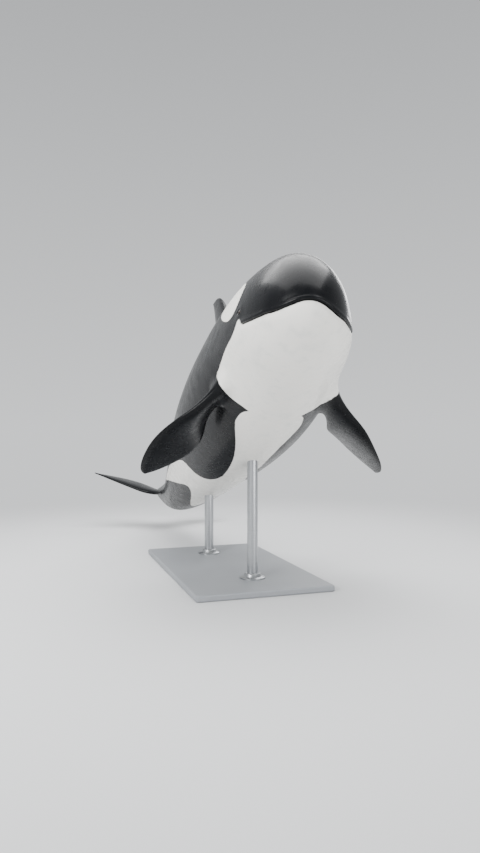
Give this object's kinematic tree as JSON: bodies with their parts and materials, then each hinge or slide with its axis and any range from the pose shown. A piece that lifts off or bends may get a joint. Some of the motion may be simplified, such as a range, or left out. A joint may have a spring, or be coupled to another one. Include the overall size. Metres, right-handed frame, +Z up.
{
  "type": "orca model on display stand",
  "caption": "Life-size still model of a subadult male orca swimming with its head raised, mouth closed, held on a flat steel base by upright rods.",
  "frame": {"origin": "centre of the stand's base, on the floor", "axes": "+Z up; the animal swims towards -Y with its head turned a little to +X, its back is up, and its right side is on the -X side"},
  "size_m": [3.5417, 6.2559, 3.0578],
  "materials": {
    "skin": "smooth wet skin, black with white chin, belly, eye patches and fluke undersides, and a grey saddle",
    "eye": "wet glossy dark brown",
    "stand_paint": "satin grey powder coat",
    "stand_steel": "brushed"
  },
  "bodies": {
    "root": {"head": "skin", "lower_jaw": "skin", "chest": "skin", "trunk": "skin", "loin": "skin", "tail_stock": "skin", "dorsal_fin": "skin", "flipper_right": "skin", "flipper_left": "skin", "fluke_right": "skin", "fluke_left": "skin", "eye_right": "eye", "eye_left": "eye", "stand_base": "stand_paint", "stand_rod_front": "stand_steel", "stand_rod_rear": "stand_steel", "stand_collar_front": "stand_steel", "stand_collar_rear": "stand_steel"}
  },
  "joints": []
}
